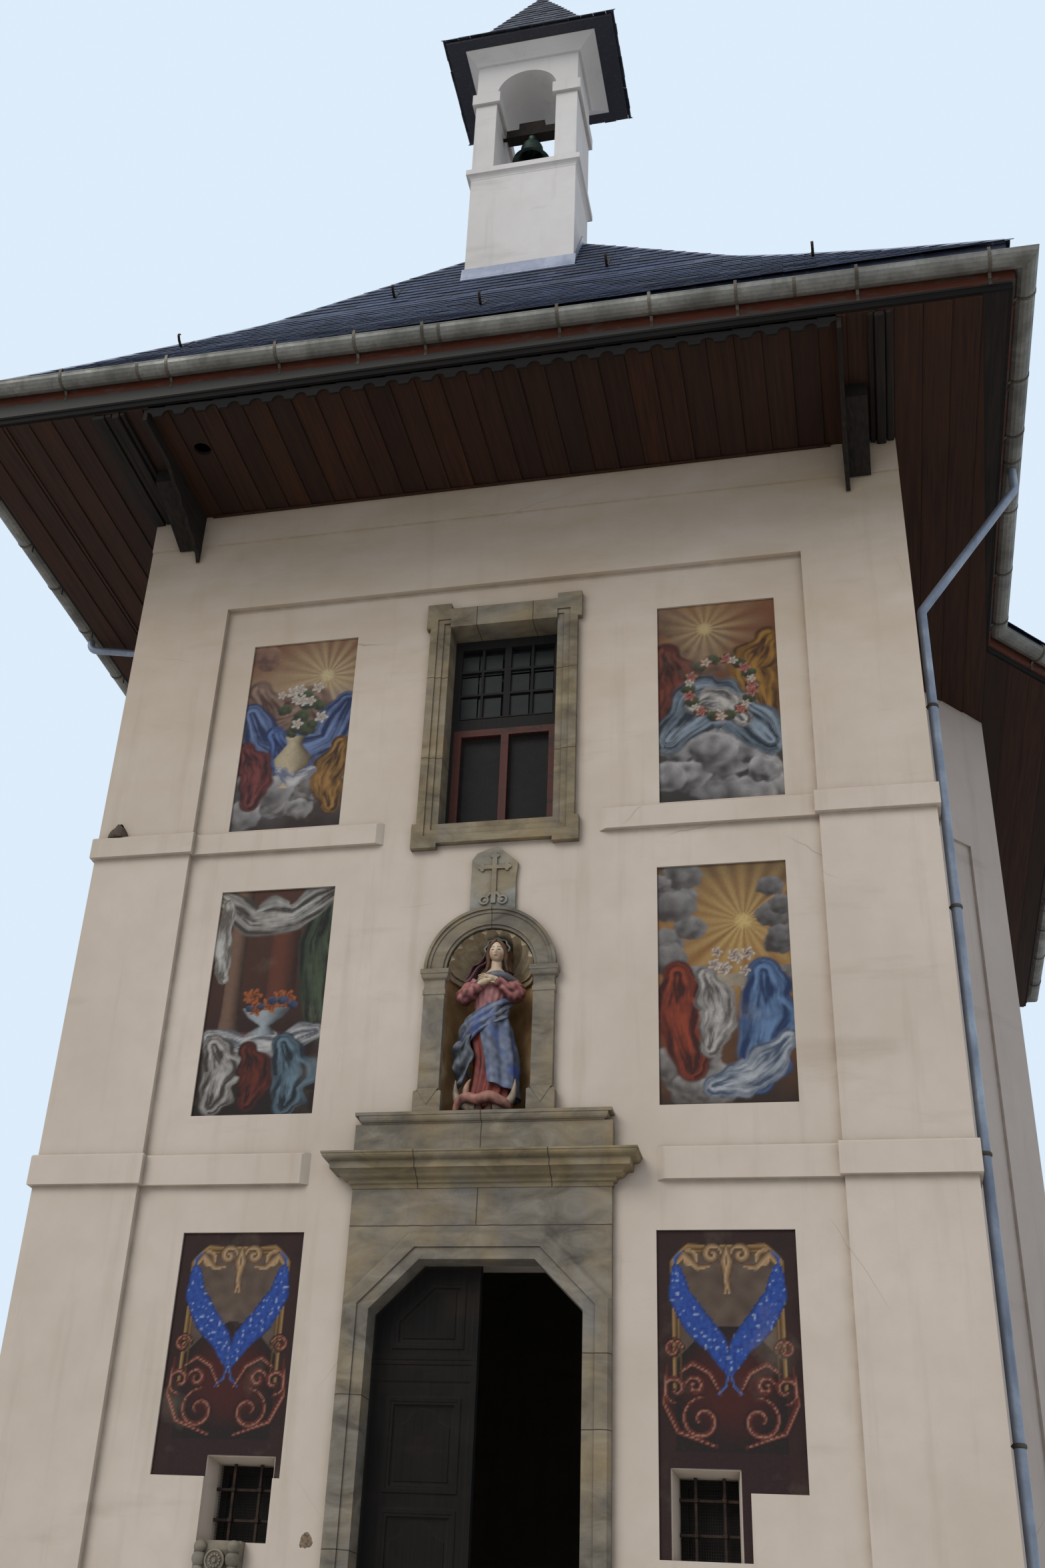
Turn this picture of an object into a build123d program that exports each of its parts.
"""A small baroque chapel: rendered front with corner pilasters, slate hip roof and bell turret.

Frame: millimetres, +Z up. The origin is the middle of the front at ground level.
The front looks along -Y, +X is the visitor's right, and the nave runs back along +Y.
"""
from build123d import *
import math
import os

os.makedirs("parts", exist_ok=True)

# Plan of the walls
front_width = 7200.0          # over both corner pilasters
front_thickness = 640.0       # front wall behind its raised pilasters
side_thickness = 600.0
back_thickness = 600.0
bay_depth = 3850.0            # narrow front bay, from the pilaster face back
cant_run = 1050.0             # depth of the canted walls
cant_out = 920.0              # how far the nave steps out on each side
building_depth = 12100.0
wall_height = 10900.0

# Recessed field on each canted wall, measured along the wall
field_margin = 476.0
field_bottom = 900.0
field_top = 8967.0
field_recess = 30.0

# Raised frame of the front
relief = 60.0                 # pilasters and top band stand this far before the field
pilaster_width = 905.0
band_bottom = 9567.0          # top of the recessed field
ledge_height = 10375.0        # thin ledge in the top band
ledge_depth = 18.0

# String courses
string_out = 50.0             # before the wall face that carries them
string_slope = 18.0           # weathered top edge
lower_string_z = 3935.0
lower_string_height = 245.0
lower_string_gap = 1335.0     # half the gap that the portal cornice stands in
lower_string_shift = 30.0
upper_string_z = 6886.0
upper_string_height = 202.0
upper_string_gap = 930.0      # half the gap that the window stands in
upper_string_shift = -13.0
string_cant = 60.0            # canted ends of the string courses
string_overhang = 30.0        # past the building's corner and the pilaster's edge
string_return = 330.0         # length of the return on the side wall

# Portal
portal_shift = 57.0           # the portal stands a little right of the middle
portal_width = 1974.0
door_width = 1570.0
door_height = 3350.0
door_shoulder = 2995.0        # where the canted corners begin
door_head_width = 860.0
portal_out = 55.0             # stone before the wall face
frieze_height = 530.0         # plain stone over the doorway
inner_band_width = 88.0
inner_band_out = 18.0
outer_band_width = 90.0
outer_band_out = 30.0
band_slope = 26.0             # the outer band falls back to the stone over this width
rebate = 36.0                 # stop for the leaves
rebate_y = 190.0              # the stop that the leaves close on
cornice_height = 232.0
cornice_out = 215.0
block_width = 1990.0          # inscription block
block_height = 344.0
block_out = 90.0
block_cap_height = 84.0
block_cap_out = 42.0
block_cap_inset = 26.0

# Doors
leaf_thickness = 60.0
leaf_gap = 6.0                # running gap round each leaf
stop_gap = 5.0                # a closed leaf stands this far behind its stop
pintle_radius = 9.0
pintle_height = 120.0
pintle_low = 480.0
pintle_middle = 1660.0
pintle_high = 2780.0
door_open_angle = 95.0        # the right leaf stands open
panel_near = 108.0            # from the door's middle to the panel mouldings
panel_far = 645.0
panel_moulding = 46.0
panel_proud = 12.0
panel_sunk = 16.0
panel_field_inset = 30.0
panel_field_rise = 8.0
top_panel_bottom = 2761.0
top_panel_cant = 275.0
top_panel_margin = 110.0      # from the door's head to the panel
rail_bottom = 2527.0          # moulded middle rail
rail_height = 183.0
rail_proud = 16.0
lower_panel_height = 626.0
lower_panel_top = 2424.0
lower_panel_pitch = 731.0
lower_panel_count = 3
meeting_strip_width = 44.0
meeting_strip_proud = 14.0
threshold_height = 140.0
threshold_out = 60.0          # the step stands this far before the jambs
floor_top = 120.0

# Niche
niche_shift = 52.0
niche_radius = 360.0
niche_height = 1209.0         # from the block to the springing
archivolt_width = 180.0
archivolt_out = 60.0
archivolt_rim = 24.0
archivolt_rim_out = 20.0
archivolt_lip = 26.0
archivolt_lip_sunk = 12.0
niche_jamb_width = 170.0
capital_height = 218.0
capital_out = 32.0
niche_base_height = 200.0
niche_base_out = 25.0

# Scallop shell in the niche
shell_flutes = 9
shell_rib = 40.0              # the ribs stand this far in from the wall's half dome
shell_flute = 12.0
shell_lip = 34.0
shell_band_height = 46.0
shell_band_depth = 26.0

# Statue
statue_height = 1500.0
statue_y = 150.0              # axis of the figure behind the pilaster face
statue_fold = 0.045

# Cross plaque
plaque_width = 390.0
plaque_height = 580.0
plaque_out = 35.0
plaque_relief = 14.0

# Upper window
window_shift = 31.0
window_width = 990.0
window_bottom = 7036.0
window_height = 2063.0
surround_jamb = 186.0
surround_head = 211.0
surround_sill = 195.0
surround_ear = 38.0           # the ears stand this far outside the jambs
surround_ear_width = 222.0
surround_ear_rise = 60.0      # and above the head
surround_ear_drop = 40.0      # and below the sill
surround_out = 60.0
surround_step = 12.0
surround_depth = 200.0
frame_depth = 70.0
frame_bar = 60.0
window_transom = 8120.0       # bottom of the transom
transom_height = 130.0
casement_rail = 36.0
glazing_bar = 22.0
screen_stile = 68.0
screen_depth = 40.0

# Painted panels: size, centres and levels
panel_width = 1020.0
lower_panel_width = 975.0
panel_recess = 30.0
panel_thickness = 12.0
panel_left_upper = -1873.0
panel_left_middle = -1847.0
panel_left_lower = -1787.0
panel_right_upper = 1926.0
panel_right_middle = 1898.0
panel_right_lower = 1842.0
panel_upper_z = 7119.0
panel_upper_height = 2011.0
panel_middle_z = 4508.0
panel_middle_height = 2010.0
panel_lower_z = 1845.0
panel_lower_height = 1729.0
panel_leg_width = 602.0       # the right lower panel runs down beside its window
panel_clear = 4.0             # paint stops this far from a window's mouth

# Small windows beside the door
small_left = -1607.0
small_left_width = 513.0
small_right = 1664.0
small_right_width = 458.0
small_height = 560.0
small_sill = 1428.0
small_splay = 30.0
small_splay_depth = 200.0
small_set = 300.0             # face of the sash behind the wall face
small_frame_depth = 50.0
small_frame_bar = 52.0
small_pane_set = 30.0

# Carved corbel under the left window
corbel_width = 330.0
corbel_height = 260.0
corbel_out = 95.0
corbel_shift = -58.0
roundel_radius = 72.0
roundel_out = 34.0

# Eaves
soffit_level = 10768.0
board_thickness = 25.0
eave_front = 1620.0           # overhang to the outside of the fascia
eave_left = 1460.0
eave_right = 940.0
eave_back = 1000.0
fascia_thickness = 30.0
eave_board_out = 25.0
eave_board_height = 310.0
valance_drop = 130.0
valance_pitch = 210.0
vent_radius = 85.0            # round hole in the soffit by the left console
vent_x = -2760.0
vent_y = -980.0

# Roof
eave_rise = 532.0             # from the soffit to the slates' edge
roof_rise = 3780.0
roof_thickness = 160.0        # measured straight down
front_ridge_end = 820.0       # the ridge starts here, inside the turret's foot
back_hip_run = 4200.0
ridge_turn = 100.0            # the ridge of the bay ends this far before the nave wall
roof_profile = ((0.0, 0.0), (0.2, 0.167), (0.38, 0.326), (0.5, 0.438), (1.0, 1.0))
cap_wing = 130.0              # zinc hip and ridge caps
cap_thickness = 22.0
cap_crest = 26.0
cap_stop = 0.97               # share of its slope that a hip cap covers

# Gutter and downpipes
gutter_radius = 95.0
gutter_wall = 5.0
gutter_left_drop = 170.0      # gutter rim below the slates' edge
gutter_right_drop = 315.0
gutter_side_drop = 400.0       # along the left side, where it hangs lower
pipe_radius = 40.0
pipe_stand_off = 30.0         # between pipe and wall
pipe_bend = 90.0
right_outlet_y = 780.0
right_outlet_drop = 230.0
right_wall_y = 220.0
right_elbow_drop = 1950.0
left_outlet_y = 1880.0
left_wall_y = 2050.0
left_outlet_drop = 110.0
left_elbow_drop = 285.0
pipe_foot = 60.0

# Consoles
console_block_width = 190.0
console_plank = 38.0
console_left = -3185.0
console_right = 3245.0
console_block_drop = 430.0
console_block_tip = 170.0
console_block_reach = 750.0
console_drop = 590.0
console_reach = 1560.0
console_tail = 150.0          # depth of the plank out at the fascia

# Bell turret, upward from the ledge
turret_width = 1180.0
turret_depth = 800.0
turret_front = 30.0
turret_ledge_top = 15450.0
turret_ledge_height = 110.0
turret_ledge_out = 50.0
pier_width = 245.0
pier_height = 1310.0
turret_impost = 170.0
turret_impost_out = 38.0
turret_head_height = 525.0    # from the springing to the cornice
turret_cornice_height = 135.0
turret_cornice_out = 170.0
turret_head_shift = 42.0      # the cornice and the roof stand a little to the right of the shaft
turret_eave = 382.0
turret_eave_front = 300.0
turret_eave_edge = 35.0
turret_break_part = 0.72      # size of the steep part's foot against the eave
turret_break_rise = 180.0
turret_spire_rise = 1420.0
turret_tip = 12.0
finial_height = 260.0
finial_radius = 16.0
finial_ball = 46.0
flashing_thickness = 12.0

# Bell
headstock_drop = 365.0        # underside of the beam below the springing
headstock_height = 120.0
headstock_depth = 130.0
headstock_end_gap = 50.0
headstock_crown_width = 300.0
headstock_crown_height = 100.0
journal_radius = 22.0
journal_length = 60.0          # how far each pin runs into the wall
bell_mouth = 220.0
bell_neck = 120.0
bell_neck_radius = 55.0
bell_height = 310.0            # from the shoulder to the lip
bell_wall = 26.0
bell_crown = 32.0
clapper_length = 240.0
clapper_rod = 9.0
clapper_ball = 34.0

# Running clearances
seat_gap = 0.3
pin_gap = 1.0

# Worked out from the above
half_front = front_width / 2
half_nave = half_front + cant_out
cant_angle = math.atan2(cant_out, cant_run)
cant_shift = side_thickness * math.tan(cant_angle / 2)
cant_start = bay_depth
cant_end = bay_depth + cant_run
front_inside = relief + front_thickness
back_inside = building_depth - back_thickness
portal_half = portal_width / 2
stone_face = relief - portal_out
leaf_y = rebate_y + stop_gap
stone_back = leaf_y + leaf_thickness
frieze_top = door_height + frieze_height
cornice_top = frieze_top + cornice_height
block_top = cornice_top + block_height
niche_spring = block_top + niche_height
archivolt_outer = niche_radius + archivolt_width
eave_level = soffit_level + eave_rise
ridge_level = eave_level + roof_rise
turret_half = turret_width / 2
turret_back = turret_front + turret_depth
turret_axis_y = turret_front + turret_depth / 2
turret_opening = turret_half - pier_width
turret_spring = turret_ledge_top + pier_height
turret_cornice_bottom = turret_spring + turret_head_height
turret_eave_level = turret_cornice_bottom + turret_cornice_height
turret_break_level = turret_eave_level + turret_break_rise
turret_apex = turret_break_level + turret_spire_rise
headstock_z = turret_spring - headstock_drop
bell_top = headstock_z - bell_neck


# Building blocks

def block(x0, x1, y0, y1, z0, z1):
    """A box between two corners."""
    return Pos((x0 + x1) / 2, (y0 + y1) / 2, (z0 + z1) / 2) * Box(x1 - x0, y1 - y0, z1 - z0)


def prism_xy(points, z0, z1):
    """An outline in plan, raised from z0 to z1."""
    face = Face(Wire.make_polygon([Vector(x, y, z0) for x, y in points], close=True))
    return extrude(face, amount=z1 - z0, dir=(0, 0, 1))


def prism_xz(points, y0, y1):
    """An outline seen from the front, run back from y0 to y1."""
    face = Face(Wire.make_polygon([Vector(x, y0, z) for x, z in points], close=True))
    return extrude(face, amount=y1 - y0, dir=(0, 1, 0))


def prism_yz(points, x0, x1):
    """A section seen from the side, run from x0 to x1."""
    face = Face(Wire.make_polygon([Vector(x0, y, z) for y, z in points], close=True))
    return extrude(face, amount=x1 - x0, dir=(1, 0, 0))


def disc_xz(x, z, radius, y0, y1):
    """A round plug whose axis runs along Y."""
    return Pos(x, (y0 + y1) / 2, z) * Rot(90, 0, 0) * Cylinder(radius, y1 - y0)


def mirror_x(shape):
    return shape.mirror(Plane.YZ)


def combine(shapes):
    """Fuse touching shapes into one solid."""
    result = shapes[0]
    for shape in shapes[1:]:
        result = result + shape
    return result


def zigzag(ring):
    """Triangles that close the end of a skin, taken from both ends of the ring in turn."""
    corners = []
    i, j = 0, len(ring) - 1
    while i + 1 < j:
        corners.append((ring[i], ring[i + 1], ring[j]))
        i += 1
        if i + 1 < j:
            corners.append((ring[i], ring[j - 1], ring[j]))
            j -= 1
    return corners


def skin(rings):
    """A closed solid through rings of points that all have the same count."""
    faces = zigzag(rings[0]) + zigzag(rings[-1])
    count = len(rings[0])
    for low, high in zip(rings, rings[1:]):
        for i in range(count):
            j = (i + 1) % count
            faces.append((low[i], low[j], high[j]))
            faces.append((low[i], high[j], high[i]))
    shell = Shell([Face(Wire.make_polygon([Vector(*p) for p in corners], close=True)) for corners in faces])
    return Solid(shell)


def offset_outline(points, distance):
    """Move every side of an outline outward by a distance; points run anticlockwise."""
    lines = []
    count = len(points)
    for i in range(count):
        (ax, az), (bx, bz) = points[i], points[(i + 1) % count]
        length = math.hypot(bx - ax, bz - az)
        nx, nz = (bz - az) / length, (ax - bx) / length
        lines.append((nx, nz, nx * ax + nz * az + distance))
    moved = []
    for i in range(count):
        a1, b1, c1 = lines[i - 1]
        a2, b2, c2 = lines[i]
        det = a1 * b2 - a2 * b1
        moved.append(((c1 * b2 - c2 * b1) / det, (a1 * c2 - a2 * c1) / det))
    return moved


def wall_moulding(x0, x1, face, back, profile):
    """A course on a wall, returned at both ends; the profile runs upward as (projection, level)."""
    reach = max(out for out, z in profile) + 1
    section = [(face - out, z) for out, z in profile] + [(back, profile[-1][1]), (back, profile[0][1])]
    seen = [(x1 + out, z) for out, z in profile] + [(x0 - out, z) for out, z in reversed(profile)]
    return prism_yz(section, x0 - reach, x1 + reach) & prism_xz(seen, face - reach, back + 1)


def shaft_moulding(half, y0, y1, profile, lean=0.0):
    """A course round all four sides of a shaft; a lean gives the right side that much more projection."""
    reach = (1 + lean) * max(out for out, z in profile) + 1
    section = [(y1 + out, z) for out, z in profile] + [(y0 - out, z) for out, z in reversed(profile)]
    seen = [(half + (1 + lean) * out, z) for out, z in profile]
    seen += [(-half - (1 - lean) * out, z) for out, z in reversed(profile)]
    return prism_yz(section, -half - reach, half + reach) & prism_xz(seen, y0 - reach, y1 + reach)


def hollow_curve(out0, z0, out1, z1, steps=4):
    """Points of a quarter hollow between two corners of a profile."""
    points = []
    for i in range(steps + 1):
        a = math.pi / 2 * i / steps
        points.append((out0 + (out1 - out0) * (1 - math.cos(a)), z0 + (z1 - z0) * math.sin(a)))
    return points


def round_curve(out0, z0, out1, z1, steps=4):
    """Points of a quarter round between two corners of a profile."""
    points = []
    for i in range(steps + 1):
        a = math.pi / 2 * i / steps
        points.append((out0 + (out1 - out0) * math.sin(a), z0 + (z1 - z0) * (1 - math.cos(a))))
    return points


def limb(path, radii, sides=8):
    """A rounded member through the points of a path."""
    rings = []
    for i, point in enumerate(path):
        before = path[max(i - 1, 0)]
        after = path[min(i + 1, len(path) - 1)]
        way = (Vector(*after) - Vector(*before)).normalized()
        helper = Vector(0, 1, 0) if abs(way.Y) < 0.8 else Vector(1, 0, 0)
        u = way.cross(helper).normalized()
        v = way.cross(u)
        ring = []
        for k in range(sides):
            a = 2 * math.pi * k / sides
            p = Vector(*point) + u * (radii[i] * math.cos(a)) + v * (radii[i] * math.sin(a))
            ring.append((p.X, p.Y, p.Z))
        rings.append(ring)
    return skin(rings)


def save(shape, name):
    """Write one named piece."""
    solids = shape.solids()
    body = solids[0] if len(solids) == 1 else Compound(children=solids)
    export_step(body, os.path.join("parts", name + ".step"))


# Walls

def reveal_half(y):
    """Half the width of the splayed reveal behind the stone."""
    near = door_width / 2 + rebate + 50
    far = near + 200
    return near + (far - near) * (y - stone_back) / (front_inside - stone_back)


def reveal_top():
    return door_height + 90


def reveal_void():
    """The splayed reveal that the leaves swing in."""
    near, far = reveal_half(stone_back), reveal_half(front_inside)
    x = portal_shift
    points = [(x - near, stone_back), (x + near, stone_back), (x + far, front_inside), (x - far, front_inside)]
    return prism_xy(points, 0, reveal_top())


def small_opening(sign):
    """Centre, outer width and inner width of the barred window on one side."""
    centre, width = (small_left, small_left_width) if sign < 0 else (small_right, small_right_width)
    return centre, width, width - 2 * small_splay


def small_window_void(sign):
    """A barred window: a splayed mouth, then a straight hole."""
    centre, width, inner = small_opening(sign)
    z0, z1 = small_sill, small_sill + small_height
    y1 = relief + small_splay_depth
    mouth = prism_xy([(centre - width / 2, relief), (centre + width / 2, relief), (centre + inner / 2, y1),
                      (centre - inner / 2, y1)], z0, z1)
    mouth = mouth & prism_yz([(relief, z0), (y1, z0), (y1, z1 - small_splay), (relief, z1)],
                             centre - width, centre + width)
    return mouth + block(centre - inner / 2, centre + inner / 2, y1, front_inside, z0, z1 - small_splay)


def panel_boxes():
    """Outline of every painted panel as (name, x0, x1, z0, z1)."""
    rows = (
        ("upper", panel_left_upper, panel_right_upper, panel_width, panel_upper_z, panel_upper_height),
        ("middle", panel_left_middle, panel_right_middle, panel_width, panel_middle_z, panel_middle_height),
        ("lower", panel_left_lower, panel_right_lower, lower_panel_width, panel_lower_z, panel_lower_height),
    )
    boxes = []
    for name, left, right, width, z0, height in rows:
        for centre in (left, right):
            boxes.append((name, centre - width / 2, centre + width / 2, z0, z0 + height))
    leg = panel_right_lower - lower_panel_width / 2
    boxes.append(("leg", leg, leg + panel_leg_width, small_sill, panel_lower_z))
    return boxes


def panel_pockets(rows):
    """The shallow recesses that the paintings lie in."""
    return [block(x0, x1, relief, relief + panel_recess, z0, z1)
            for name, x0, x1, z0, z1 in panel_boxes() if name in rows]


def front_wall_side(sign):
    """The front wall beside the portal, up to the frieze."""
    inner = portal_shift + sign * portal_half
    edges = sorted((sign * half_front, inner))
    wall = block(edges[0], edges[1], relief, front_inside, 0, frieze_top)
    behind = sorted((inner, portal_shift + sign * reveal_half(stone_back)))
    wall = wall + block(behind[0], behind[1], stone_back, front_inside, 0, frieze_top)
    wall = wall - reveal_void() - small_window_void(sign)
    for pocket in panel_pockets(("lower", "leg")):
        wall = wall - pocket
    return wall


def niche_void():
    x = niche_shift
    tube = Pos(x, relief, (block_top + niche_spring) / 2) * Cylinder(niche_radius, niche_spring - block_top)
    dome = Pos(x, relief, niche_spring) * Sphere(niche_radius)
    return tube + dome


def window_void():
    x0 = window_shift - window_width / 2
    return block(x0, x0 + window_width, relief, front_inside, window_bottom, window_bottom + window_height)


def front_wall_upper():
    """The front wall over the portal, with the niche, the window and the panel pockets."""
    wall = block(-half_front, half_front, relief, front_inside, frieze_top, wall_height)
    inner_half = reveal_half(stone_back)
    lintel = block(portal_shift - inner_half, portal_shift + inner_half, stone_back, front_inside,
                   reveal_top(), frieze_top)
    wall = wall + lintel
    wall = wall - window_void() - surround_stone_void() - niche_void()
    for pocket in panel_pockets(("upper", "middle")):
        wall = wall - pocket
    return wall


def side_wall(sign):
    """One long wall: front bay, canted stretch with its recessed field, and nave."""
    outer = [
        (half_front, front_inside),
        (half_front, cant_start),
        (half_nave, cant_end),
        (half_nave, back_inside),
    ]
    inner = [
        (half_nave - side_thickness, back_inside),
        (half_nave - side_thickness, cant_end + cant_shift),
        (half_front - side_thickness, cant_start + cant_shift),
        (half_front - side_thickness, front_inside),
    ]
    wall = prism_xy([(sign * x, y) for x, y in outer + inner], 0, wall_height)
    along = (math.sin(cant_angle), math.cos(cant_angle))
    inward = (-along[1], along[0])
    length = math.hypot(cant_run, cant_out)
    corners = []
    for reach, depth in ((field_margin, -1), (length - field_margin, -1), (length - field_margin, field_recess),
                         (field_margin, field_recess)):
        x = half_front + along[0] * reach + inward[0] * depth
        y = cant_start + along[1] * reach + inward[1] * depth
        corners.append((sign * x, y))
    return wall - prism_xy(corners, field_bottom, field_top)


def back_wall():
    return block(-half_nave, half_nave, back_inside, building_depth, 0, wall_height)


def floor_slab():
    inside = [
        (half_front - side_thickness, front_inside),
        (half_front - side_thickness, cant_start + cant_shift),
        (half_nave - side_thickness, cant_end + cant_shift),
        (half_nave - side_thickness, back_inside),
    ]
    outline = inside + [(-x, y) for x, y in reversed(inside)]
    return prism_xy(outline, 0, floor_top)


def threshold():
    """Worn stone step that fills the doorway at ground level."""
    near, far = reveal_half(stone_back), reveal_half(front_inside)
    x = portal_shift
    clear = door_width / 2
    points = [
        (x - clear, stone_face - threshold_out), (x + clear, stone_face - threshold_out), (x + clear, rebate_y),
        (x + clear + rebate, rebate_y), (x + clear + rebate, stone_back), (x + near, stone_back),
        (x + far, front_inside), (x - far, front_inside), (x - near, stone_back),
        (x - clear - rebate, stone_back), (x - clear - rebate, rebate_y), (x - clear, rebate_y),
    ]
    return prism_xy(points, 0, threshold_height)


# Raised frame and string courses

def facade_frame():
    """Corner pilasters and top band, one skin of render on the front wall."""
    left = block(-half_front, -half_front + pilaster_width, 0, relief, 0, wall_height)
    right = mirror_x(left)
    band = block(-half_front, half_front, 0, relief, band_bottom, wall_height)
    ledge = block(-half_front, half_front, -ledge_depth, 0, ledge_height, soffit_level)
    return left + right + band + ledge


def string_half(z0, height, gap, centre, sign):
    """Half of a string course: it breaks forward over the pilaster and stops with a canted end."""
    inner = centre + sign * gap
    corner = sign * half_front
    over = corner + sign * string_overhang
    pilaster = corner - sign * pilaster_width
    brk = pilaster - sign * string_overhang
    field = relief - string_out
    plan = [(over, -string_out), (over, string_return), (corner, string_return), (corner, 0), (pilaster, 0),
            (pilaster, relief), (inner, relief), (inner + sign * string_cant, field), (brk, field),
            (brk, -string_out)]
    course = prism_xy(plan, z0, z0 + height)
    top = z0 + height
    for face, x0, x1 in ((-string_out, brk, over), (field, inner, brk)):
        edges = sorted((x0, x1))
        wedge = [(face - 1, top - string_slope - 1), (face + string_slope + 1, top + 1), (face - 1, top + 1)]
        course = course - prism_yz(wedge, edges[0] - 1, edges[1] + 1)
    return course


def lower_string():
    return [string_half(lower_string_z, lower_string_height, lower_string_gap, lower_string_shift, s)
            for s in (-1, 1)]


def upper_string():
    return [string_half(upper_string_z, upper_string_height, upper_string_gap, upper_string_shift, s)
            for s in (-1, 1)]


# Portal

def doorway_outline(z_bottom):
    """The doorway with its canted corners, anticlockwise from the bottom left."""
    half, head = door_width / 2, door_head_width / 2
    points = [(-half, z_bottom), (half, z_bottom), (half, door_shoulder), (head, door_height),
              (-head, door_height), (-half, door_shoulder)]
    return [(portal_shift + x, z) for x, z in points]


def sloped_band(inner, width, y_front, y_back):
    """A flat band round the doorway whose outer edge falls back to the stone."""
    flat = offset_outline(doorway_outline(-500), inner + width)
    foot = offset_outline(doorway_outline(-500), inner + width + band_slope)
    front = Face(Wire.make_polygon([Vector(x, y_front, z) for x, z in flat], close=True))
    back = Face(Wire.make_polygon([Vector(x, y_back, z) for x, z in foot], close=True))
    return loft([front, back], ruled=True)


def portal_shape():
    """All the dressed stone round the door, before it is parted into jambs and head."""
    x = portal_shift
    shape = block(x - portal_half, x + portal_half, stone_face, stone_back, 0, frieze_top)
    outer = sloped_band(0, inner_band_width + outer_band_width, stone_face - outer_band_out, stone_face)
    inner = prism_xz(offset_outline(doorway_outline(-500), inner_band_width), stone_face - outer_band_out - 1,
                     stone_face - inner_band_out)
    shape = shape + (outer & block(x - portal_half, x + portal_half, stone_face - 100, stone_face, 0, frieze_top))
    shape = shape - inner
    shape = shape - prism_xz(doorway_outline(-10), stone_face - 100, rebate_y)
    shape = shape - prism_xz(offset_outline(doorway_outline(-500), rebate), rebate_y, stone_back + 10)
    for pin in pintles(-1, pintle_radius, 0) + pintles(1, pintle_radius, 0):
        shape = shape - pin
    return shape


def portal_jamb(shape, sign):
    edges = sorted((portal_shift, portal_shift + sign * (portal_half + 50)))
    return shape & block(edges[0], edges[1], -200, stone_back + 50, 0, door_shoulder)


def portal_head(shape):
    return shape & block(portal_shift - portal_half - 50, portal_shift + portal_half + 50,
                         -200, stone_back + 50, door_shoulder, frieze_top)


def portal_cornice():
    """Main cornice over the frieze, returned at both ends."""
    h, out, z = cornice_height, cornice_out, frieze_top
    profile = [(0.03 * out, z), (0.05 * out, z + 0.13 * h)]
    profile += [(0.14 * out, z + 0.16 * h), (0.17 * out, z + 0.27 * h)]
    profile += round_curve(0.24 * out, z + 0.29 * h, 0.44 * out, z + 0.42 * h)
    profile += hollow_curve(0.46 * out, z + 0.43 * h, 0.66 * out, z + 0.50 * h)
    profile += [(0.70 * out, z + 0.50 * h), (0.72 * out, z + 0.75 * h)]
    profile += round_curve(0.80 * out, z + 0.77 * h, 0.97 * out, z + 0.92 * h)
    profile += [(out, z + 0.94 * h), (out, z + h)]
    return wall_moulding(portal_shift - portal_half, portal_shift + portal_half, stone_face, relief, profile)


def inscription_block():
    """Plain tablet on the cornice with a moulded cap."""
    half = block_width / 2
    x = portal_shift
    z0, z1, z2 = cornice_top, block_top - block_cap_height, block_top
    face = relief - block_out
    die = block(x - half, x + half, face, relief, z0, z1)
    fillet = block(x - half, x + half, face - block_cap_out, relief, z2 - 0.3 * block_cap_height, z2)
    low = z1
    high = z2 - 0.3 * block_cap_height
    inset = block_cap_inset + block_cap_out
    curve = [(4.0, low)] + round_curve(8.0, low + 8, block_cap_out - 4, high)
    return die + fillet + wall_moulding(x - half + inset, x + half - inset, face, relief, curve)


# Doors

def leaf_outline(sign):
    """Outline of one closed leaf with its running gap, canted at the top outside corner."""
    z0 = threshold_height + leaf_gap
    grow = rebate - leaf_gap
    whole = offset_outline(doorway_outline(z0 + grow), grow)
    x = portal_shift
    shape = prism_xz(whole, leaf_y, leaf_y + leaf_thickness)
    edges = sorted((x + sign * leaf_gap / 2, x + sign * (portal_half + 50)))
    return shape & block(edges[0], edges[1], leaf_y, leaf_y + leaf_thickness, z0, door_height + 200)


def rectangle(sign, u0, u1, z0, z1):
    """Anticlockwise outline on a leaf; u is the distance from the door's middle."""
    x0, x1 = sorted((portal_shift + sign * u0, portal_shift + sign * u1))
    return [(x0, z0), (x1, z0), (x1, z1), (x0, z1)]


def top_panel_outline(sign):
    """The upper panel follows the canted head of the door."""
    z0, z1 = top_panel_bottom, door_height - top_panel_margin
    cant = top_panel_cant
    points = [(panel_near, z0), (panel_far, z0), (panel_far, z1 - cant), (panel_far - cant, z1), (panel_near, z1)]
    outline = [(portal_shift + sign * u, z) for u, z in points]
    return outline if sign > 0 else list(reversed(outline))


def ogee_outline(sign, z0, z1):
    """Raised field with a stepped and arched head."""
    inset = panel_moulding + panel_field_inset
    u0, u1 = panel_near + inset, panel_far - inset
    middle, half = (u0 + u1) / 2, (u1 - u0) / 2
    rise = 0.62 * half
    low, high = z0 + inset, z1 - inset
    crown = [(half, high - rise), (0.78 * half, high - 0.86 * rise), (0.55 * half, high - 0.62 * rise),
             (0.47 * half, high - 0.30 * rise), (0.30 * half, high - 0.08 * rise), (0.0, high)]
    right = [(half, low)] + crown
    left = [(-u, z) for u, z in reversed(right) if u > 0]
    outline = [(portal_shift + sign * (middle + u), z) for u, z in right + left]
    return outline if sign > 0 else list(reversed(outline))


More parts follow.
